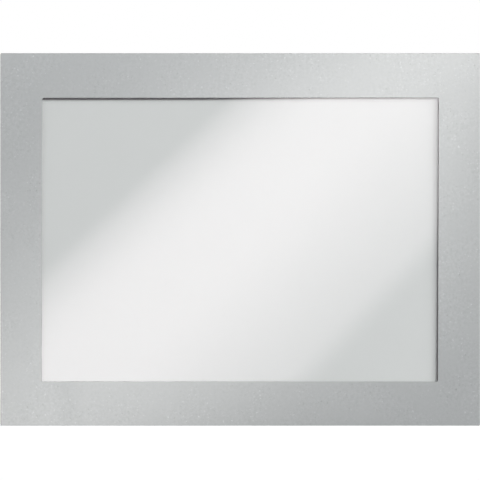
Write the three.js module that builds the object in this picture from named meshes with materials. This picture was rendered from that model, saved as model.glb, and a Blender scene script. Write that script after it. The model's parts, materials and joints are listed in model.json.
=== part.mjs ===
// A magnetic display frame for one A6 sheet, stuck to a wall, a door or a pane of glass.
// It is two thin laminated panels that close on each other like the covers of a book.
// The back panel sticks to the wall with four tapes and holds the sheet in a pocket between four
// flexible magnet strips. The cover is a silver border round a clear window, with four magnet
// strips of its own, and it folds up and over along a film hinge at the top edge.
// Each panel is drawn flat as it is seen from the front, x to the right and y up, and its layers
// are stacked along z away from the wall. The whole part is then stood up, so that it faces -Y.
import * as THREE from "three";

// The sheet on show, and how the silver border frames it. All sizes are in millimetres.
const sheetWidth = 148;
const sheetHeight = 105;
const sheetThickness = 0.25;
const sideLap = 2.1; // the border covers this much of the sheet at its left and right
const headLap = 1; // and this much at its top and bottom
const sideBorder = 15.13; // width of the silver border at left and right
const headBorder = 16.08; // and at top and bottom
const windowDrop = 0.1; // the window was cut this much below the frame's middle
const windowLean = 0.3; // and its top lies this much further right than its bottom
const sheetPlay = 0.5; // room round the sheet in its pocket

// Layers, from the wall outwards.
const tapeThickness = 0.5;
const backFilmThickness = 0.375;
const rearBorderThickness = 0.125;
const stripThickness = 0.75;
const hingeTapeThickness = 0.125;
const windowFilmThickness = 0.25;
const coverBorderThickness = 0.25;
const bondLine = 1 / 64; // adhesive between two laminated layers
const closingGap = 0.125; // between the two panels when the magnets hold them shut

// Outlines and edges.
const outerCornerRadius = 0.5;
const windowCornerRadius = 0.7;
const sheetCornerRadius = 0.3;
const stripSetback = 0.5; // the strips stop short of the frame's outer edge
const stripJoint = 0.3; // gap where two strips butt at a corner
const topRevealLeft = 0.66; // the cover's top strip shows this much inside the window at its left end
const topRevealRight = -0.3; // and this much at its right end, where it hides behind the border
const topRevealBends = [
  { across: -18, shows: 0.59 }, // it was laid a little askew, with these slight bends
  { across: 15, shows: 0.3 },
  { across: 62, shows: 0.06 },
];
const rightRevealTop = 0; // the cover's right strip shows this much inside the window at its top end
const rightRevealBottom = 0.33; // and this much at its bottom end
const hiddenSetback = 0.3; // the left and bottom strips hide this far behind the border
const tapeWidth = 9;
const tapeSetback = 2.5; // the mounting tapes stop short of the frame's outer edge
const tapeJoint = 1.5; // gap between two mounting tapes at a corner
const tapeCornerRadius = 1.5;
const hingeLeafWidth = 8; // how much of the hinge tape is stuck to each panel
const creaseHeight = 0.0625; // the hinge's crease stands this far above the panels' top edges
const hingeEndSetback = 1; // the hinge tape stops short of the panels' ends
const arcSegments = 6; // straight runs in each quarter round

// Sizes that follow from the sheet and its border.
const windowWidth = sheetWidth - 2 * sideLap;
const windowHeight = sheetHeight - 2 * headLap;
const frameWidth = windowWidth + 2 * sideBorder;
const frameHeight = windowHeight + 2 * headBorder;
const pocketWidth = sheetWidth + 2 * sheetPlay;
const pocketHeight = sheetHeight + 2 * sheetPlay;
const hingeHeight = frameHeight / 2 + creaseHeight;
const topStripThickness = stripThickness - hingeTapeThickness - bondLine; // leaves room for the hinge tape

// How far from the wall each layer starts.
const tapeLevel = 0;
const backFilmLevel = tapeLevel + tapeThickness + bondLine;
const rearBorderLevel = backFilmLevel + backFilmThickness + bondLine;
const rearStripLevel = rearBorderLevel + rearBorderThickness + bondLine;
const rearHingeTapeLevel = rearStripLevel + topStripThickness + bondLine;
const partingLevel = rearStripLevel + stripThickness + closingGap / 2;
const coverStripLevel = partingLevel + closingGap / 2;
const coverTopStripLevel = coverStripLevel + hingeTapeThickness + bondLine;
const windowFilmLevel = coverStripLevel + stripThickness + bondLine;
const coverBorderLevel = windowFilmLevel + windowFilmThickness + bondLine;

const silverFilm = new THREE.MeshStandardMaterial({ color: 0xbfc3c3, roughness: 0.38, metalness: 0.6 });
const hingeFilm = new THREE.MeshStandardMaterial({ color: 0xaeb2b2, roughness: 0.45, metalness: 0.3 });
const magnetRubber = new THREE.MeshStandardMaterial({ color: 0x2b2929, roughness: 0.6, metalness: 0 });
const mountingTape = new THREE.MeshStandardMaterial({ color: 0xe9e8e2, roughness: 0.7, metalness: 0 });
const whitePaper = new THREE.MeshStandardMaterial({ color: 0xf3f3f1, roughness: 0.9, metalness: 0 });
const clearFilm = new THREE.MeshStandardMaterial({
  color: 0xf1f5f5,
  roughness: 0.08,
  metalness: 0,
  transparent: true,
  opacity: 0.3,
});

// The four edges of a rectangle that is centred on the panel.
function centred(width, height) {
  return { left: -width / 2, right: width / 2, bottom: -height / 2, top: height / 2 };
}

// The four edges of the window that is die-cut in both silver borders.
function windowEdges() {
  const { left, right, bottom, top } = centred(windowWidth, windowHeight);
  return { left, right, bottom: bottom - windowDrop, top: top - windowDrop };
}

// The same rectangle with each edge moved in.
function inset({ left, right, bottom, top }, by) {
  return { left: left + by, right: right - by, bottom: bottom + by, top: top - by };
}

// Traces a rectangle on a Shape or a Path, with a quarter round at each corner. A lean moves its top
// to the right and its bottom to the left by half as much.
function traceRectangle(path, { left, right, bottom, top }, radius, lean = 0) {
  if (radius === 0) {
    path.moveTo(left, bottom);
    path.lineTo(right, bottom);
    path.lineTo(right, top);
    path.lineTo(left, top);
    return path;
  }
  const shift = lean / 2;
  path.absarc(right - shift - radius, bottom + radius, radius, -Math.PI / 2, 0, false);
  path.absarc(right + shift - radius, top - radius, radius, 0, Math.PI / 2, false);
  path.absarc(left + shift + radius, top - radius, radius, Math.PI / 2, Math.PI, false);
  path.absarc(left - shift + radius, bottom + radius, radius, Math.PI, 1.5 * Math.PI, false);
  return path;
}

// A flat layer of the given outline.
function flatLayer(outline, thickness) {
  return new THREE.ExtrudeGeometry(outline, {
    depth: thickness,
    bevelEnabled: false,
    curveSegments: arcSegments,
  });
}

// A flat rectangular layer.
function layer(edges, thickness, radius = 0) {
  return flatLayer(traceRectangle(new THREE.Shape(), edges, radius), thickness);
}

// A silver border, with the window cut out of it.
function borderLayer(thickness) {
  const outline = traceRectangle(new THREE.Shape(), frameEdges, outerCornerRadius);
  outline.holes.push(traceRectangle(new THREE.Path(), windowEdges(), windowCornerRadius, windowLean));
  return flatLayer(outline, thickness);
}

// Four strips that fill the room between two rectangles. The top and bottom ones run right across,
// and the left and right ones stand between them.
function fourStrips(outer, inner, joint) {
  return {
    top: { ...outer, bottom: inner.top },
    bottom: { ...outer, top: inner.bottom },
    left: { left: outer.left, right: inner.left, bottom: inner.bottom + joint, top: inner.top - joint },
    right: { left: inner.right, right: outer.right, bottom: inner.bottom + joint, top: inner.top - joint },
  };
}

function addLayer(panel, name, geometry, material, level) {
  const mesh = new THREE.Mesh(geometry, material);
  mesh.name = name;
  mesh.position.z = level;
  panel.add(mesh);
}

const frameEdges = centred(frameWidth, frameHeight);

// Four strips of double-sided tape that come off the wall without a mark.
function addMountingTapes(panel) {
  const outer = inset(frameEdges, tapeSetback);
  const inner = inset(outer, tapeWidth);
  for (const [side, edges] of Object.entries(fourStrips(outer, inner, tapeJoint))) {
    const tape = layer(edges, tapeThickness, tapeCornerRadius);
    addLayer(panel, `mounting_tape_${side}`, tape, mountingTape, tapeLevel);
  }
}

// The clear film that carries the back panel, and the silver border that shows through it.
function addBackLaminate(panel) {
  const backFilm = layer(frameEdges, backFilmThickness, outerCornerRadius);
  addLayer(panel, "back_film", backFilm, clearFilm, backFilmLevel);
  addLayer(panel, "rear_border", borderLayer(rearBorderThickness), silverFilm, rearBorderLevel);
}

// The back panel's magnet strips, and the sheet in the pocket that they leave.
function addPocket(panel) {
  const outer = inset(frameEdges, stripSetback);
  const pocket = centred(pocketWidth, pocketHeight);
  for (const [side, edges] of Object.entries(fourStrips(outer, pocket, stripJoint))) {
    const thickness = side === "top" ? topStripThickness : stripThickness;
    addLayer(panel, `rear_magnet_${side}`, layer(edges, thickness), magnetRubber, rearStripLevel);
  }
  const sheet = layer(centred(sheetWidth, sheetHeight), sheetThickness, sheetCornerRadius);
  addLayer(panel, "display_sheet", sheet, whitePaper, rearStripLevel);
}

// The cover's magnet strips. The top and right ones show as a dark line inside the window, and
// their inner edges run from one reveal to the next.
function addCoverStrips(panel) {
  const outer = inset(frameEdges, stripSetback);
  const cut = windowEdges();
  const left = cut.left - hiddenSetback;
  const bottom = cut.bottom - hiddenSetback;
  const topAtLeft = cut.top - topRevealLeft;
  const topAtRight = cut.top - topRevealRight;
  const rightAtTop = cut.right + windowLean / 2 - rightRevealTop;
  const rightAtBottom = cut.right - windowLean / 2 - rightRevealBottom;
  const outlines = {
    top: [
      [outer.left, topAtLeft],
      ...topRevealBends.map(({ across, shows }) => [across, cut.top - shows]),
      [outer.right, topAtRight],
      [outer.right, outer.top],
      [outer.left, outer.top],
    ],
    bottom: [
      [outer.left, outer.bottom],
      [outer.right, outer.bottom],
      [outer.right, bottom],
      [outer.left, bottom],
    ],
    left: [
      [outer.left, bottom + stripJoint],
      [left, bottom + stripJoint],
      [left, topAtLeft - stripJoint],
      [outer.left, topAtLeft - stripJoint],
    ],
    right: [
      [rightAtBottom, bottom + stripJoint],
      [outer.right, bottom + stripJoint],
      [outer.right, topAtRight - stripJoint],
      [rightAtTop, topAtRight - stripJoint],
    ],
  };
  for (const [side, corners] of Object.entries(outlines)) {
    const outline = new THREE.Shape(corners.map(([x, y]) => new THREE.Vector2(x, y)));
    const underHinge = side === "top";
    const thickness = underHinge ? topStripThickness : stripThickness;
    const level = underHinge ? coverTopStripLevel : coverStripLevel;
    addLayer(panel, `cover_magnet_${side}`, flatLayer(outline, thickness), magnetRubber, level);
  }
}

// The clear window film runs the full size of the cover, and the silver border is bonded on it.
function addCoverLaminate(panel) {
  const windowFilm = layer(frameEdges, windowFilmThickness, outerCornerRadius);
  addLayer(panel, "window_film", windowFilm, clearFilm, windowFilmLevel);
  addLayer(panel, "cover_border", borderLayer(coverBorderThickness), silverFilm, coverBorderLevel);
}

// One leaf of the hinge tape, from the crease down. The two leaves are halves of one tape, which
// lies folded between the top strips while the frame is shut.
function addHingeLeaf(panel, name, level) {
  const halfLength = frameWidth / 2 - hingeEndSetback;
  const edges = {
    left: -halfLength,
    right: halfLength,
    bottom: hingeHeight - hingeLeafWidth,
    top: hingeHeight,
  };
  addLayer(panel, name, layer(edges, hingeTapeThickness), hingeFilm, level);
}

const backPanel = new THREE.Group();
addMountingTapes(backPanel);
addBackLaminate(backPanel);
addPocket(backPanel);
addHingeLeaf(backPanel, "hinge_leaf_back", rearHingeTapeLevel);

// The cover turns about the crease. A negative rotation.x of coverHinge opens it.
const coverHinge = new THREE.Group();
coverHinge.position.set(0, hingeHeight, partingLevel);
const cover = new THREE.Group();
cover.position.set(0, -hingeHeight, -partingLevel);
coverHinge.add(cover);
addCoverStrips(cover);
addCoverLaminate(cover);
addHingeLeaf(cover, "hinge_leaf_cover", coverStripLevel);

const displayFrame = new THREE.Group();
displayFrame.add(backPanel, coverHinge);
displayFrame.rotation.x = Math.PI / 2; // stands the part up, with its back at y = 0

export default displayFrame;
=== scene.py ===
import json
import math

import bmesh
import bpy
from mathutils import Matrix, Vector


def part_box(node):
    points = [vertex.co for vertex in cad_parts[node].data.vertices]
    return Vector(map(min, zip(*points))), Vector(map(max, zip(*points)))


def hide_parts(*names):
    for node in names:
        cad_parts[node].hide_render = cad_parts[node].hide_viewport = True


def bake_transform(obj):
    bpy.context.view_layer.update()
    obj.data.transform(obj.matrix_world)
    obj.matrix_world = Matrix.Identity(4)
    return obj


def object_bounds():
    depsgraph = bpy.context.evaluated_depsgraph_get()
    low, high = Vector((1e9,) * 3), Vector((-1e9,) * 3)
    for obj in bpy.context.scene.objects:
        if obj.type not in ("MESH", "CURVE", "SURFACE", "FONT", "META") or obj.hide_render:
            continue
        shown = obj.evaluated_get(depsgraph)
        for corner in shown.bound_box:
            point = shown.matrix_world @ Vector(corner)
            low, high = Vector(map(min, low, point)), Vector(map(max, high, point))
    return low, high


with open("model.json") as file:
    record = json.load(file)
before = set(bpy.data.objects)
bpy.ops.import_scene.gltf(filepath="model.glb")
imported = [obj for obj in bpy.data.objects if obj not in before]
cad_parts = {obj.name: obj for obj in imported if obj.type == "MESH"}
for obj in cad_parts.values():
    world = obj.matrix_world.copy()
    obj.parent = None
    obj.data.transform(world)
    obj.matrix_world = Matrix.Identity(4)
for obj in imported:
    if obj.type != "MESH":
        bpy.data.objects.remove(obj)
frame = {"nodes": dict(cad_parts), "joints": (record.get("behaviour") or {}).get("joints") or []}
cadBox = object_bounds()
parts = frame["nodes"]
hinge = frame["joints"][0]
mm = 0.001
allSides = ("top", "bottom", "left", "right")
print("frame loaded with", len(parts), "parts")


# Small helpers for node trees. A value is set on its socket, and a socket is linked to it.

def addNode(tree, kind, inputs=None, **settings):
    node = tree.nodes.new(kind)
    for name, value in settings.items():
        setattr(node, name, value)
    for name, value in (inputs or {}).items():
        if isinstance(value, bpy.types.NodeSocket):
            tree.links.new(value, node.inputs[name])
        else:
            node.inputs[name].default_value = value
    return node


def calc(tree, operation, first, second=0.0, third=0.0):
    inputs = {0: first, 1: second}
    if operation == "MULTIPLY_ADD":
        inputs[2] = third
    return addNode(tree, "ShaderNodeMath", inputs, operation=operation).outputs[0]


def remap(tree, value, fromMin, fromMax, toMin=0.0, toMax=1.0, curve="SMOOTHSTEP"):
    inputs = {
        "Value": value,
        "From Min": fromMin,
        "From Max": fromMax,
        "To Min": toMin,
        "To Max": toMax,
    }
    return addNode(tree, "ShaderNodeMapRange", inputs, interpolation_type=curve).outputs[0]


def blendColours(tree, share, first, second):
    inputs = {0: share, 6: first, 7: second}
    return addNode(tree, "ShaderNodeMix", inputs, data_type="RGBA").outputs[2]


def shadeColour(tree, colour, shade):
    inputs = {0: colour[:3], "Scale": shade}
    return addNode(tree, "ShaderNodeVectorMath", inputs, operation="SCALE").outputs[0]


def splitVector(tree, vector):
    return addNode(tree, "ShaderNodeSeparateXYZ", {0: vector}).outputs


def raiseSurface(tree, height, distance):
    return addNode(tree, "ShaderNodeBump", {"Height": height, "Distance": distance}).outputs[0]


def newGroup(name, inputs, outputs):
    tree = bpy.data.node_groups.new(name, "ShaderNodeTree")
    for socketName, kind, value in inputs:
        socket = tree.interface.new_socket(socketName, in_out="INPUT", socket_type=kind)
        if value is not None:
            socket.default_value = value
    for socketName, kind in outputs:
        tree.interface.new_socket(socketName, in_out="OUTPUT", socket_type=kind)
    return tree, addNode(tree, "NodeGroupInput").outputs, addNode(tree, "NodeGroupOutput")


def useGroup(tree, group, inputs):
    return addNode(tree, "ShaderNodeGroup", inputs, node_tree=group).outputs


def newMaterial(name, colour):
    material = bpy.data.materials.new(name)
    material.use_nodes = True
    material.diffuse_color = colour
    tree = material.node_tree
    tree.nodes.clear()
    return material, tree, addNode(tree, "ShaderNodeOutputMaterial").inputs["Surface"]


# Effects that several materials share.

noiseMiddle = 0.5

grainShape = {
    "detail": 3.0,
    "roughness": 0.75,
    "mottleScale": 0.06,  # of the broad mottle, as a share of the grain's scale
}


def buildFineGrain():  # the powdery grain of a printed or cast surface
    tree, given, out = newGroup(
        "fineGrain",
        [
            ("Vector", "NodeSocketVector", None),
            ("Grains per Metre", "NodeSocketFloat", 2200.0),
            ("Contrast", "NodeSocketFloat", 0.2),
            ("Mottle", "NodeSocketFloat", 0.02),
        ],
        [("Shade", "NodeSocketFloat"), ("Height", "NodeSocketFloat")],
    )
    grain = addNode(tree, "ShaderNodeTexNoise", {
        "Vector": given["Vector"],
        "Scale": given["Grains per Metre"],
        "Detail": grainShape["detail"],
        "Roughness": grainShape["roughness"],
    }).outputs["Fac"]
    mottle = addNode(tree, "ShaderNodeTexNoise", {
        "Vector": given["Vector"],
        "Scale": calc(tree, "MULTIPLY", given["Grains per Metre"], grainShape["mottleScale"]),
        "Detail": grainShape["detail"],
    }).outputs["Fac"]
    fine = calc(tree, "MULTIPLY", calc(tree, "SUBTRACT", grain, noiseMiddle), given["Contrast"])
    broad = calc(tree, "MULTIPLY", calc(tree, "SUBTRACT", mottle, noiseMiddle), given["Mottle"])
    shade = calc(tree, "ADD", calc(tree, "ADD", fine, broad), 1.0)
    tree.links.new(shade, out.inputs["Shade"])
    tree.links.new(grain, out.inputs["Height"])
    return tree


speckShape = {
    "detail": 2.0,
    "wobbleScale": 1.8,  # how finely a speck's outline is bent, for the specks' own scale
    "core": 0.4,  # share of a speck's radius that stands at full height
    "sides": (-0.7, 1.0),  # from the deepest pit to the highest pimple
    "patchEdge": (0.4, 0.57),  # where in the noise a patch begins and is full
    "betweenPatches": 0.4,  # what is left outside the patches
}


def buildSpecks():  # pimples and pits in patches, mostly lighter than the surface and some darker
    tree, given, out = newGroup(
        "specks",
        [
            ("Vector", "NodeSocketVector", None),
            ("Specks per Metre", "NodeSocketFloat", 700.0),
            ("Radius", "NodeSocketFloat", 0.16),
            ("Contrast", "NodeSocketFloat", 0.3),
            ("Patch Size", "NodeSocketFloat", 0.01),
        ],
        [
            ("Shade", "NodeSocketFloat"),
            ("Height", "NodeSocketFloat"),
            ("Patch", "NodeSocketFloat"),
        ],
    )
    wobble = addNode(tree, "ShaderNodeTexNoise", {
        "Vector": given["Vector"],
        "Scale": calc(tree, "MULTIPLY", given["Specks per Metre"], speckShape["wobbleScale"]),
        "Detail": speckShape["detail"],
    }).outputs["Color"]
    reach = calc(tree, "DIVIDE", 1.0, given["Specks per Metre"])
    moved = addNode(tree, "ShaderNodeVectorMath", {
        0: wobble,
        1: reach,
        2: given["Vector"],
    }, operation="MULTIPLY_ADD").outputs[0]
    cell = addNode(tree, "ShaderNodeTexVoronoi", {
        "Vector": moved,
        "Scale": given["Specks per Metre"],
    }).outputs
    core = calc(tree, "MULTIPLY", given["Radius"], speckShape["core"])
    dot = remap(tree, cell["Distance"], core, given["Radius"], 1.0, 0.0)
    chance = addNode(tree, "ShaderNodeSeparateColor", {0: cell["Color"]}).outputs[0]
    side = remap(tree, chance, 0.0, 1.0, *speckShape["sides"], "LINEAR")
    noise = addNode(tree, "ShaderNodeTexNoise", {
        "Vector": given["Vector"],
        "Scale": calc(tree, "DIVIDE", 1.0, given["Patch Size"]),
        "Detail": speckShape["detail"],
    }).outputs["Fac"]
    patch = remap(tree, noise, *speckShape["patchEdge"], speckShape["betweenPatches"], 1.0)
    height = calc(tree, "MULTIPLY", calc(tree, "MULTIPLY", dot, side), patch)
    shade = calc(tree, "MULTIPLY_ADD", height, given["Contrast"], 1.0)
    tree.links.new(shade, out.inputs["Shade"])
    tree.links.new(height, out.inputs["Height"])
    tree.links.new(patch, out.inputs["Patch"])
    return tree


markShape = {
    "smearDetail": 4.0,
    "smearBend": 0.8,
    "smearEdge": (0.45, 0.75),  # where in the noise a smear begins and is full
    "scratchTurn": math.radians(37),
    "scratchScale": (60.0, 60.0, 3500.0),  # long two ways and hair-fine the third, per metre
    "scratchDetail": 2.0,
    "scratchEdge": (0.7, 0.78),
}


def buildHandlingMarks():  # faint smears and hairline scratches of a film that hands have touched
    tree, given, out = newGroup(
        "handlingMarks",
        [
            ("Vector", "NodeSocketVector", None),
            ("Smear Size", "NodeSocketFloat", 0.03),
            ("Amount", "NodeSocketFloat", 0.03),
        ],
        [("Roughness", "NodeSocketFloat")],
    )
    smear = addNode(tree, "ShaderNodeTexNoise", {
        "Vector": given["Vector"],
        "Scale": calc(tree, "DIVIDE", 1.0, given["Smear Size"]),
        "Detail": markShape["smearDetail"],
        "Distortion": markShape["smearBend"],
    }).outputs["Fac"]
    turned = addNode(tree, "ShaderNodeMapping", {
        "Vector": given["Vector"],
        "Rotation": (0.0, markShape["scratchTurn"], 0.0),
        "Scale": markShape["scratchScale"],
    }).outputs["Vector"]
    scratch = addNode(tree, "ShaderNodeTexNoise", {
        "Vector": turned,
        "Scale": 1.0,
        "Detail": markShape["scratchDetail"],
    }).outputs["Fac"]
    smears = remap(tree, smear, *markShape["smearEdge"])
    scratches = remap(tree, scratch, *markShape["scratchEdge"])
    rough = calc(tree, "MULTIPLY", calc(tree, "ADD", smears, scratches), given["Amount"])
    tree.links.new(rough, out.inputs["Roughness"])
    return tree


cutFacing = (0.35, 0.75)  # how far a normal still points to the face, from a full cut to none


def buildCutEdge():  # where a layer was cut through, told by its normal turning from the face
    tree, given, out = newGroup(
        "cutEdge",
        [("Normal", "NodeSocketVector", None)],
        [("Mask", "NodeSocketFloat")],
    )
    facing = calc(tree, "ABSOLUTE", splitVector(tree, given["Normal"])["Y"])
    tree.links.new(remap(tree, facing, *cutFacing, 1.0, 0.0), out.inputs["Mask"])
    return tree


fineGrain = buildFineGrain()
specks = buildSpecks()
handlingMarks = buildHandlingMarks()
cutEdge = buildCutEdge()
print("shared effects built")


def useGrain(tree, vector, look, contrast):
    return useGroup(tree, fineGrain, {
        "Vector": vector,
        "Grains per Metre": look["grainsPerMetre"],
        "Contrast": contrast,
        "Mottle": look["mottle"],
    })


def useMarks(tree, vector, look, amount):
    return useGroup(tree, handlingMarks, {
        "Vector": vector,
        "Smear Size": look["smearSize"],
        "Amount": amount,
    })["Roughness"]


def useCutEdge(tree, place):
    return useGroup(tree, cutEdge, {"Normal": place["Normal"]})["Mask"]


def paint(material, *names):
    for name in names:
        slots = parts[name].data.materials
        slots.clear()
        slots.append(material)


cutting = {
    "joinWithin": 0.001 * mm,
    "flatWithin": math.radians(0.05),  # a strip's slight bends stay
    "steps": 2,
    "cornerAngle": math.radians(40),
}


def roundEdges(width, *names):  # the small radius that a die leaves along a cut
    for name in names:
        part = parts[name]
        part.modifiers.new("joinFaces", "WELD").merge_threshold = cutting["joinWithin"]
        flatten = part.modifiers.new("flatten", "DECIMATE")
        flatten.decimate_type = "DISSOLVE"
        flatten.angle_limit = cutting["flatWithin"]
        bevel = part.modifiers.new("cutRadius", "BEVEL")
        bevel.width = width
        bevel.segments = cutting["steps"]
        bevel.limit_method = "ANGLE"
        bevel.angle_limit = cutting["cornerAngle"]
        bevel.harden_normals = True


# Silver film of both borders.

silverFilm = {
    "colour": (0.442, 0.459, 0.465, 1.0),
    "coreColour": (0.8, 0.8, 0.8, 1.0),  # the plastic under the print, bare at the cuts
    "metallic": 0.215,
    "roughness": 0.275,
    "grainsPerMetre": 1000.0,
    "grainContrast": 0.41,
    "mottle": 0.05,
    "grainHeight": 0.004 * mm,
    "specksPerMetre": 900.0,
    "speckRadius": 0.3,  # as a share of their spacing
    "speckContrast": 0.3,
    "speckPatch": 12 * mm,
    "speckHeight": 0.01 * mm,
    "smearSize": 30 * mm,
    "marks": 0.04,
    "edgeRadius": 0.08 * mm,
}


def makeSilverFilm():
    look = silverFilm
    material, tree, surface = newMaterial("silverFilm", look["colour"])
    place = addNode(tree, "ShaderNodeTexCoord").outputs
    speck = useGroup(tree, specks, {
        "Vector": place["Object"],
        "Specks per Metre": look["specksPerMetre"],
        "Radius": look["speckRadius"],
        "Contrast": look["speckContrast"],
        "Patch Size": look["speckPatch"],
    })
    contrast = calc(tree, "MULTIPLY", speck["Patch"], look["grainContrast"])
    grain = useGrain(tree, place["Object"], look, contrast)
    marks = useMarks(tree, place["Object"], look, look["marks"])
    cut = useCutEdge(tree, place)
    shade = calc(tree, "MULTIPLY", grain["Shade"], speck["Shade"])
    tint = shadeColour(tree, look["colour"], shade)
    speckRise = look["speckHeight"] / look["grainHeight"]
    relief = calc(tree, "MULTIPLY_ADD", speck["Height"], speckRise, grain["Height"])
    shader = addNode(tree, "ShaderNodeBsdfPrincipled", {
        "Base Color": blendColours(tree, cut, tint, look["coreColour"]),
        "Metallic": calc(tree, "MULTIPLY_ADD", cut, -look["metallic"], look["metallic"]),
        "Roughness": calc(tree, "ADD", marks, look["roughness"]),
        "Normal": raiseSurface(tree, relief, look["grainHeight"]),
    })
    tree.links.new(shader.outputs[0], surface)
    return material


paint(makeSilverFilm(), "cover_border", "rear_border")
roundEdges(silverFilm["edgeRadius"], "cover_border")
print("silver borders done")


# Clear films: the window of the cover and the back panel.

clearFilm = {
    "tint": (0.968, 0.975, 0.973, 1.0),
    "lampTint": (0.968, 0.975, 0.973, 1.0),  # what a lamp's light keeps at each face it passes
    "glareTint": (1.0, 0.94, 1.0, 1.0),  # of what the film mirrors face on
    "roughness": 0.02,
    "ior": 1.5,
    "smearSize": 50 * mm,
    "windowMarks": 0.02,
    "backMarks": 0.06,
    "edgeRadius": 0.05 * mm,
}


def makeClearFilm(name, marksAmount):
    look = clearFilm
    material, tree, surface = newMaterial(name, look["tint"])
    place = addNode(tree, "ShaderNodeTexCoord").outputs
    marks = useMarks(tree, place["Object"], look, marksAmount)
    glass = addNode(tree, "ShaderNodeBsdfPrincipled", {
        "Base Color": look["tint"],
        "Roughness": calc(tree, "ADD", marks, look["roughness"]),
        "IOR": look["ior"],
        "Specular Tint": look["glareTint"],
        "Transmission Weight": 1.0,
    })
    passed = addNode(tree, "ShaderNodeBsdfTransparent", {"Color": look["lampTint"]})
    path = addNode(tree, "ShaderNodeLightPath").outputs
    lit = calc(tree, "MAXIMUM", path["Is Shadow Ray"], path["Is Diffuse Ray"])
    mix = addNode(tree, "ShaderNodeMixShader", {0: lit, 1: glass.outputs[0], 2: passed.outputs[0]})
    tree.links.new(mix.outputs[0], surface)
    return material


paint(makeClearFilm("windowFilm", clearFilm["windowMarks"]), "window_film")
paint(makeClearFilm("backFilm", clearFilm["backMarks"]), "back_film")
roundEdges(clearFilm["edgeRadius"], "window_film", "back_film")
print("clear films done")


# Magnet strips.

magnetStrip = {
    "colour": (0.022, 0.0215, 0.021, 1.0),
    "cutColour": (0.03, 0.029, 0.028, 1.0),
    "roughness": 0.5,
    "cutRoughness": 0.15,  # more than the face has
    "grainsPerMetre": 5000.0,
    "grainContrast": 0.5,
    "mottle": 0.25,
    "grainRise": 0.6,  # for the lines' height
    "linePitch": 0.35 * mm,  # of the fine lines that the rollers leave along a strip
    "lineBend": 1.5,
    "lineDetail": 2.0,
    "lineDetailScale": 0.3,
    "lineHeight": 0.006 * mm,
    "edgeRadius": 0.08 * mm,
}

waveStep = math.pi / 10  # how far apart a wave texture of scale 1 has its lines


def makeMagnet(name, lineAxis):  # its fine lines follow one another along that axis
    look = magnetStrip
    material, tree, surface = newMaterial(name, look["colour"])
    place = addNode(tree, "ShaderNodeTexCoord").outputs
    grain = useGrain(tree, place["Object"], look, look["grainContrast"])
    cut = useCutEdge(tree, place)
    lines = addNode(tree, "ShaderNodeTexWave", {
        "Vector": place["Object"],
        "Scale": waveStep / look["linePitch"],
        "Distortion": look["lineBend"],
        "Detail": look["lineDetail"],
        "Detail Scale": look["lineDetailScale"],
    }, bands_direction=lineAxis).outputs["Fac"]
    tint = shadeColour(tree, look["colour"], grain["Shade"])
    relief = calc(tree, "MULTIPLY_ADD", grain["Height"], look["grainRise"], lines)
    shader = addNode(tree, "ShaderNodeBsdfPrincipled", {
        "Base Color": blendColours(tree, cut, tint, look["cutColour"]),
        "Roughness": calc(tree, "MULTIPLY_ADD", cut, look["cutRoughness"], look["roughness"]),
        "Normal": raiseSurface(tree, relief, look["lineHeight"]),
    })
    tree.links.new(shader.outputs[0], surface)
    return material


magnetAcross = makeMagnet("magnetAcross", "Z")
magnetUpright = makeMagnet("magnetUpright", "X")
for panel in ("rear", "cover"):
    paint(magnetAcross, f"{panel}_magnet_top", f"{panel}_magnet_bottom")
    paint(magnetUpright, f"{panel}_magnet_left", f"{panel}_magnet_right")
    roundEdges(magnetStrip["edgeRadius"], *(f"{panel}_magnet_{side}" for side in allSides))
print("magnet strips done")


# The sheet on show.

paperSheet = {
    "colour": (0.857, 0.871, 0.866, 1.0),
    "edgeColour": (0.72, 0.725, 0.715, 1.0),
    "roughness": 0.8,
    "shine": 0.3,
    "grainsPerMetre": 9000.0,
    "grainContrast": 0.03,
    "mottle": 0.012,
    "fibreHeight": 0.004 * mm,
}


def makePaper():
    look = paperSheet
    material, tree, surface = newMaterial("whitePaper", look["colour"])
    place = addNode(tree, "ShaderNodeTexCoord").outputs
    grain = useGrain(tree, place["Object"], look, look["grainContrast"])
    cut = useCutEdge(tree, place)
    tint = shadeColour(tree, look["colour"], grain["Shade"])
    shader = addNode(tree, "ShaderNodeBsdfPrincipled", {
        "Base Color": blendColours(tree, cut, tint, look["edgeColour"]),
        "Roughness": look["roughness"],
        "Specular IOR Level": look["shine"],
        "Normal": raiseSurface(tree, grain["Height"], look["fibreHeight"]),
    })
    tree.links.new(shader.outputs[0], surface)
    return material


paint(makePaper(), "display_sheet")
print("sheet done")


# Mounting tapes on the back.

mountingTape = {
    "colour": (0.80, 0.80, 0.765, 1.0),
    "cutColour": (0.9, 0.9, 0.87, 1.0),
    "roughness": 0.3,
    "grainsPerMetre": 1400.0,
    "grainContrast": 0.1,
    "mottle": 0.12,
    "skinHeight": 0.02 * mm,
    "smearSize": 12 * mm,
    "marks": 0.12,
    "edgeRadius": 0.08 * mm,
}


def makeTape():
    look = mountingTape
    material, tree, surface = newMaterial("mountingTape", look["colour"])
    place = addNode(tree, "ShaderNodeTexCoord").outputs
    grain = useGrain(tree, place["Object"], look, look["grainContrast"])
    marks = useMarks(tree, place["Object"], look, look["marks"])
    cut = useCutEdge(tree, place)
    tint = shadeColour(tree, look["colour"], grain["Shade"])
    shader = addNode(tree, "ShaderNodeBsdfPrincipled", {
        "Base Color": blendColours(tree, cut, tint, look["cutColour"]),
        "Roughness": calc(tree, "ADD", marks, look["roughness"]),
        "Normal": raiseSurface(tree, grain["Height"], look["skinHeight"]),
    })
    tree.links.new(shader.outputs[0], surface)
    return material


tapeNames = [f"mounting_tape_{side}" for side in allSides]
paint(makeTape(), *tapeNames)
roundEdges(mountingTape["edgeRadius"], *tapeNames)
print("mounting tapes done")


# The hinge tape: one strip of film that is folded over the top edge and stuck to both panels.

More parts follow.
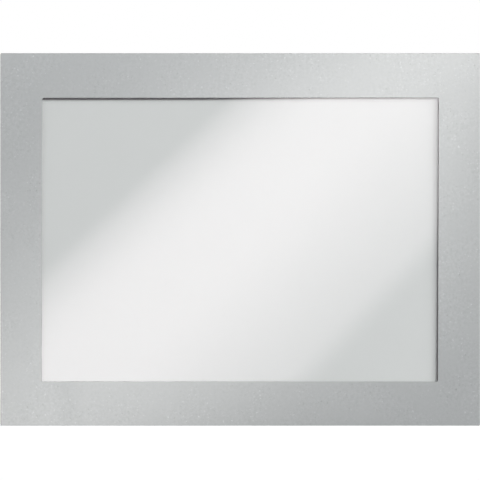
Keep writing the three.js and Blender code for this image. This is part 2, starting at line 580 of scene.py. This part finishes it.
hingeTape = {
    "colour": (0.46, 0.47, 0.475, 1.0),
    "foldColour": (0.62, 0.63, 0.635, 1.0),  # the film pales where it is creased
    "metallic": 0.3,
    "roughness": 0.38,
    "foldRoughness": 0.1,  # more than the leaves have
    "grainsPerMetre": 2600.0,
    "grainContrast": 0.2,
    "mottle": 0.05,
    "grainHeight": 0.008 * mm,
    "ribPitch": 0.5 * mm,
    "ribRise": 0.15,  # for the grain's height
    "foldSteps": 12,
    "foldRise": 0.3,  # how high the fold stands for its half width, pressed almost flat
    "foldWidth": 0.6 * mm,
    "foldCore": 0.3,  # share of the fold's width that is palest
    "leafSteps": 6,
}


def makeHingeFilm(foldAt):
    look = hingeTape
    material, tree, surface = newMaterial("hingeFilm", look["colour"])
    place = addNode(tree, "ShaderNodeTexCoord").outputs
    grain = useGrain(tree, place["UV"], look, look["grainContrast"])
    across = splitVector(tree, place["UV"])["Y"]
    fromFold = calc(tree, "ABSOLUTE", calc(tree, "SUBTRACT", across, foldAt))
    core = look["foldWidth"] * look["foldCore"]
    crease = remap(tree, fromFold, core, look["foldWidth"], 1.0, 0.0)
    tint = shadeColour(tree, look["colour"], grain["Shade"])
    ribs = calc(tree, "SINE", calc(tree, "MULTIPLY", across, 2 * math.pi / look["ribPitch"]))
    relief = calc(tree, "MULTIPLY_ADD", ribs, look["ribRise"], grain["Height"])
    shader = addNode(tree, "ShaderNodeBsdfPrincipled", {
        "Base Color": blendColours(tree, crease, tint, look["foldColour"]),
        "Metallic": look["metallic"],
        "Roughness": calc(tree, "MULTIPLY_ADD", crease, look["foldRoughness"], look["roughness"]),
        "Normal": raiseSurface(tree, relief, look["grainHeight"]),
    })
    tree.links.new(shader.outputs[0], surface)
    return material


def traceHingeTape(axisY, axisZ, bend, leafHeight):  # up one leaf, over the fold and down
    leafSteps = hingeTape["leafSteps"]
    foldSteps = hingeTape["foldSteps"]
    rise = bend * hingeTape["foldRise"]
    line = []  # the film's middle in y and z, the outward direction, and the length along it
    for i in range(leafSteps):
        up = leafHeight * i / leafSteps
        line.append((axisY + bend, axisZ - leafHeight + up, 1.0, 0.0, up))
    for i in range(foldSteps + 1):
        turn = math.pi * i / foldSteps
        y, z = math.cos(turn), math.sin(turn)
        line.append((axisY + bend * y, axisZ + rise * z, y, z, leafHeight + bend * turn))
    for i in range(1, leafSteps + 1):
        down = leafHeight * i / leafSteps
        along = leafHeight + bend * math.pi + down
        line.append((axisY - bend, axisZ - down, -1.0, 0.0, along))
    return line


def buildHingeMesh(line, left, right, halfThick):
    mesh = bpy.data.meshes.new("hinge_tape")
    build = bmesh.new()
    uvLayer = build.loops.layers.uv.new("film")
    rows = []
    for side in (-1, 1):
        for x in (left, right):
            rows.append([
                build.verts.new((x, y + side * halfThick * outY, z + side * halfThick * outZ))
                for y, z, outY, outZ, along in line
            ])
    innerLeft, innerRight, outerLeft, outerRight = rows
    alongOf = {vert: line[i][4] for row in rows for i, vert in enumerate(row)}
    for i in range(len(line) - 1):
        build.faces.new((outerLeft[i], outerRight[i], outerRight[i + 1], outerLeft[i + 1]))
        build.faces.new((innerLeft[i + 1], innerRight[i + 1], innerRight[i], innerLeft[i]))
        build.faces.new((innerLeft[i], outerLeft[i], outerLeft[i + 1], innerLeft[i + 1]))
        build.faces.new((outerRight[i], innerRight[i], innerRight[i + 1], outerRight[i + 1]))
    build.faces.new((innerLeft[0], innerRight[0], outerRight[0], outerLeft[0]))
    build.faces.new((outerLeft[-1], outerRight[-1], innerRight[-1], innerLeft[-1]))
    for face in build.faces:
        face.smooth = True
        for loop in face.loops:
            loop[uvLayer].uv = (loop.vert.co.x, alongOf[loop.vert])
    bmesh.ops.recalc_face_normals(build, faces=build.faces)
    build.to_mesh(mesh)
    build.free()
    mesh.set_sharp_from_angle(angle=cutting["cornerAngle"])
    return mesh


def makeHingeTape():
    backLow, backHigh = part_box("hinge_leaf_back")
    axisY, axisZ = hinge["pos_m"][1], hinge["pos_m"][2]
    bend = (backLow.y + backHigh.y) / 2 - axisY  # half the fold's width, at the film's middle
    halfThick = (backHigh.y - backLow.y) / 2
    leafHeight = axisZ - backLow.z
    line = traceHingeTape(axisY, axisZ, bend, leafHeight)
    mesh = buildHingeMesh(line, backLow.x, backHigh.x, halfThick)
    mesh.materials.append(makeHingeFilm(leafHeight + bend * math.pi / 2))
    tape = bpy.data.objects.new("hinge_tape", mesh)
    bpy.context.scene.collection.objects.link(tape)
    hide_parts("hinge_leaf_back", "hinge_leaf_cover")
    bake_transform(tape)


makeHingeTape()
print("hinge tape done")


# Camera, straight in front of the face, on a long lens.

camera = {
    "imageWidth": 174.1 * mm,  # what the picture spans at the cover's face
    "lens": 100.0,
    "sensor": 36.0,
    "offsetX": -0.06 * mm,  # the frame sits this little off the picture's middle
    "offsetZ": -0.205 * mm,
    "seesFrom": 10 * mm,
}


def makeCamera():
    data = bpy.data.cameras.new("camera")
    data.lens = camera["lens"]
    data.sensor_width = camera["sensor"]
    data.clip_start = camera["seesFrom"]
    body = bpy.data.objects.new("camera", data)
    distance = camera["imageWidth"] * camera["lens"] / camera["sensor"]
    body.location = (camera["offsetX"], cadBox[0].y - distance, camera["offsetZ"])
    body.rotation_euler = (math.pi / 2, 0.0, 0.0)
    bpy.context.scene.collection.objects.link(body)
    bpy.context.scene.camera = body


makeCamera()
print("camera done")


# Studio: a long diagonal light that the film mirrors, lamps, a white surround and a pale floor.

def makeCard(name, half, material):  # a flat square, lying about its middle
    corners = [(-half, -half, 0), (half, -half, 0), (half, half, 0), (-half, half, 0)]
    mesh = bpy.data.meshes.new(name)
    mesh.from_pydata(corners, [], [(0, 1, 2, 3)])
    mesh.materials.append(material)
    card = bpy.data.objects.new(name, mesh)
    bpy.context.scene.collection.objects.link(card)
    return card


def markSeen(tree):  # 1 where the camera looks, straight, mirrored or through film, and else 0
    path = addNode(tree, "ShaderNodeLightPath").outputs
    seen = calc(tree, "MAXIMUM", path["Is Camera Ray"], path["Is Glossy Ray"])
    return calc(tree, "MAXIMUM", seen, path["Is Transmission Ray"])


surround = {
    "colour": (1.0, 1.0, 1.0, 1.0),
    "white": 1.0,
    "ambient": 0.06,  # what it lights the frame with
}

stripLight = {
    "halfCard": 750 * mm,
    "distance": 600 * mm,  # in front of the face
    "glow": 3.55,  # over the surround's white
    "colour": (1.0, 0.965, 0.93, 1.0),
    "riseLean": math.radians(42.8),  # direction of its upper edge and of its lower edge
    "fadeLean": math.radians(46.1),
    "rise": (-92 * mm, -30 * mm),  # where the light begins and is full, across its length
    "fade": (14 * mm, 98 * mm),  # where it starts to fade, and where it has come down to halfLevel
    "halfLevel": 0.48,
    "end": 130 * mm,  # and where it ends
    "ends": (-420 * mm, 600 * mm),  # the same along its length
    "endFades": (80 * mm, 100 * mm),
    "pastRight": (156 * mm, 190 * mm),  # its fading side loses light past the right and the bottom
    "pastBottom": (108 * mm, 137 * mm),
    "lossFrom": (40 * mm, 112 * mm),  # across its length
    "lossTo": (165 * mm, 225 * mm),
    "loss": 0.84,
    "brightAbove": 1.6,  # how much brighter a bar above the mirrored part is, mostly at the left
    "barFrom": (148 * mm, 178 * mm),
    "barTo": (235 * mm, 270 * mm),
    "rightFrom": (-150 * mm, 150 * mm),
    "rightShare": 0.24,
    "darkerBelow": 0.21,  # how much darker it all is below the mirrored part
    "belowFrom": (-176 * mm, -118 * mm),
    "darkBelow": (-480 * mm, -320 * mm),  # the darker part ends between these heights
}


def acrossStrip(tree, at, lean):  # distance from the light's middle line, towards the lower right
    sideways = calc(tree, "MULTIPLY", at["X"], math.sin(lean))
    return calc(tree, "MULTIPLY_ADD", at["Y"], -math.cos(lean), sideways)


def stripGlow(tree, at, fromMiddle):  # the long light, from 0 outside it to 1 where it is full
    look = stripLight
    short = remap(tree, acrossStrip(tree, at, look["riseLean"]), *look["rise"], 1.0, 0.0, "LINEAR")
    rise = calc(tree, "SUBTRACT", 1.0, calc(tree, "MULTIPLY", short, short))
    slope = remap(tree, fromMiddle, *look["fade"], 1.0, look["halfLevel"], "LINEAR")
    tail = remap(tree, fromMiddle, look["fade"][1], look["end"], 1.0, 0.0)
    fade = calc(tree, "MULTIPLY", slope, tail)
    lean = (look["riseLean"] + look["fadeLean"]) / 2
    sideways = calc(tree, "MULTIPLY", at["X"], math.cos(lean))
    along = calc(tree, "MULTIPLY_ADD", at["Y"], math.sin(lean), sideways)
    lowEnd, highEnd = look["ends"]
    lowFade, highFade = look["endFades"]
    low = remap(tree, along, lowEnd, lowEnd + lowFade)
    high = remap(tree, along, highEnd - highFade, highEnd, 1.0, 0.0)
    glow = calc(tree, "MINIMUM", rise, fade)
    return calc(tree, "MULTIPLY", glow, calc(tree, "MULTIPLY", low, high))


def cardLevel(tree, at, fromMiddle):  # how bright it all is, above, below and beside the middle
    look = stripLight
    right = remap(tree, at["X"], *look["pastRight"])
    bottom = remap(tree, calc(tree, "MULTIPLY", at["Y"], -1.0), *look["pastBottom"])
    outside = calc(tree, "MAXIMUM", right, bottom)
    begins = remap(tree, fromMiddle, *look["lossFrom"])
    ends = remap(tree, fromMiddle, *look["lossTo"], look["loss"], 0.0)
    lost = calc(tree, "MULTIPLY", outside, calc(tree, "MULTIPLY", begins, ends))
    kept = calc(tree, "SUBTRACT", 1.0, lost)
    barStart = remap(tree, at["Y"], *look["barFrom"], 0.0, look["brightAbove"])
    barEnd = remap(tree, at["Y"], *look["barTo"], 1.0, 0.0)
    barShare = remap(tree, at["X"], *look["rightFrom"], 1.0, look["rightShare"])
    above = calc(tree, "MULTIPLY", calc(tree, "MULTIPLY", barStart, barEnd), barShare)
    darker = remap(tree, at["Y"], *look["belowFrom"], -look["darkerBelow"], 0.0)
    below = calc(tree, "MULTIPLY", darker, remap(tree, at["Y"], *look["darkBelow"]))
    level = calc(tree, "ADD", calc(tree, "ADD", above, below), 1.0)
    return calc(tree, "MULTIPLY", level, kept)


def makeStripLight():
    look = stripLight
    material, tree, surface = newMaterial("stripLight", look["colour"])
    at = splitVector(tree, addNode(tree, "ShaderNodeTexCoord").outputs["Object"])
    fromMiddle = acrossStrip(tree, at, look["fadeLean"])
    glow = calc(tree, "MULTIPLY", stripGlow(tree, at, fromMiddle), look["glow"])
    level = cardLevel(tree, at, fromMiddle)
    strength = calc(tree, "MULTIPLY", glow, level)
    white = calc(tree, "MULTIPLY", level, surround["white"])
    strip = addNode(tree, "ShaderNodeEmission", {"Color": look["colour"], "Strength": strength})
    rest = addNode(tree, "ShaderNodeEmission", {"Strength": white})
    light = addNode(tree, "ShaderNodeAddShader", {0: strip.outputs[0], 1: rest.outputs[0]})
    tree.links.new(light.outputs[0], surface)
    card = makeCard("strip_light", look["halfCard"], material)
    card.location = (0, cadBox[0].y - look["distance"], 0)
    card.rotation_euler = (math.pi / 2, 0, 0)
    card.visible_camera = False
    card.visible_shadow = False
    card.visible_diffuse = False


def makeSurround():
    world = bpy.data.worlds.new("surround")
    bpy.context.scene.world = world
    world.use_nodes = True
    tree = world.node_tree
    tree.nodes.clear()
    more = surround["white"] - surround["ambient"]
    level = calc(tree, "MULTIPLY_ADD", markSeen(tree), more, surround["ambient"])
    shine = addNode(tree, "ShaderNodeBackground", {"Color": surround["colour"], "Strength": level})
    out = addNode(tree, "ShaderNodeOutputWorld")
    tree.links.new(shine.outputs[0], out.inputs["Surface"])


paleFloor = {
    "halfSize": 1200 * mm,
    "colour": (0.7, 0.7, 0.7, 1.0),
    "glow": 0.67,  # so that the floor is white where the lamp on it isn't shadowed
    "lampLevel": 1.5,
    "lampFrom": (0.35, -0.5, 1.0),
    "lampSpread": math.radians(25),
}


def makeFloor():
    look = paleFloor
    material, tree, surface = newMaterial("paleFloor", look["colour"])
    matt = addNode(tree, "ShaderNodeBsdfDiffuse", {"Color": look["colour"]})
    strength = calc(tree, "MULTIPLY", markSeen(tree), look["glow"])
    glow = addNode(tree, "ShaderNodeEmission", {"Strength": strength})
    both = addNode(tree, "ShaderNodeAddShader", {0: matt.outputs[0], 1: glow.outputs[0]})
    tree.links.new(both.outputs[0], surface)
    floor = makeCard("floor", look["halfSize"], material)
    floor.location = (0, 0, cadBox[0].z)
    floor.visible_diffuse = False  # it throws no light up at the frame
    floor.visible_glossy = False  # and doesn't cut off the long light in the film
    floor.visible_transmission = False
    return floor


def makeFloorLamp(floor):
    floorOnly = bpy.data.collections.new("floor_only")
    floorOnly.objects.link(floor)
    data = bpy.data.lights.new("floorLamp", "SUN")
    data.energy = paleFloor["lampLevel"]
    data.angle = paleFloor["lampSpread"]
    lamp = bpy.data.objects.new("floorLamp", data)
    lamp.rotation_euler = Vector(paleFloor["lampFrom"]).to_track_quat("Z", "Y").to_euler()
    lamp.light_linking.receiver_collection = floorOnly
    bpy.context.scene.collection.objects.link(lamp)


# Where each lamp stands from the frame, how far off and how large it is in metres, and the level
# that white facing it shows.
lamps = {
    "keyLamp": {"at": (0.85, -1.0, 0.38), "distance": 1.4, "size": (1.26, 0.6), "level": 0.495},
    "frontLamp": {"at": (0.12, -1.0, 0.035), "distance": 1.0, "size": (0.3, 0.2), "level": 0.316},
    "fillLamp": {"at": (-0.9, -1.0, 0.0), "distance": 1.0, "size": (0.6, 0.3), "level": 0.085},
    "backLampLeft": {"at": (-0.6, 1.0, 0.4), "distance": 1.0, "size": (0.7, 0.7), "level": 0.65},
    "backLampRight": {"at": (0.7, 1.0, 0.2), "distance": 1.0, "size": (0.7, 0.7), "level": 0.5},
}


def makeLamps(floor):
    allButFloor = bpy.data.collections.new("all_but_floor")
    allButFloor.objects.link(floor)
    allButFloor.collection_objects[0].light_linking.link_state = "EXCLUDE"
    for name, look in lamps.items():
        data = bpy.data.lights.new(name, "AREA")
        data.shape = "RECTANGLE"
        data.size, data.size_y = look["size"]
        data.energy = look["level"] * (math.pi * look["distance"]) ** 2
        away = Vector(look["at"]).normalized()
        lamp = bpy.data.objects.new(name, data)
        lamp.location = away * look["distance"]
        lamp.rotation_euler = away.to_track_quat("Z", "Y").to_euler()
        lamp.visible_camera = False
        lamp.visible_glossy = False
        lamp.visible_transmission = False
        lamp.light_linking.receiver_collection = allButFloor
        bpy.context.scene.collection.objects.link(lamp)


makeStripLight()
makeSurround()
floor = makeFloor()
makeFloorLamp(floor)
makeLamps(floor)
bpy.context.scene.view_settings.view_transform = "Standard"
print("studio done")
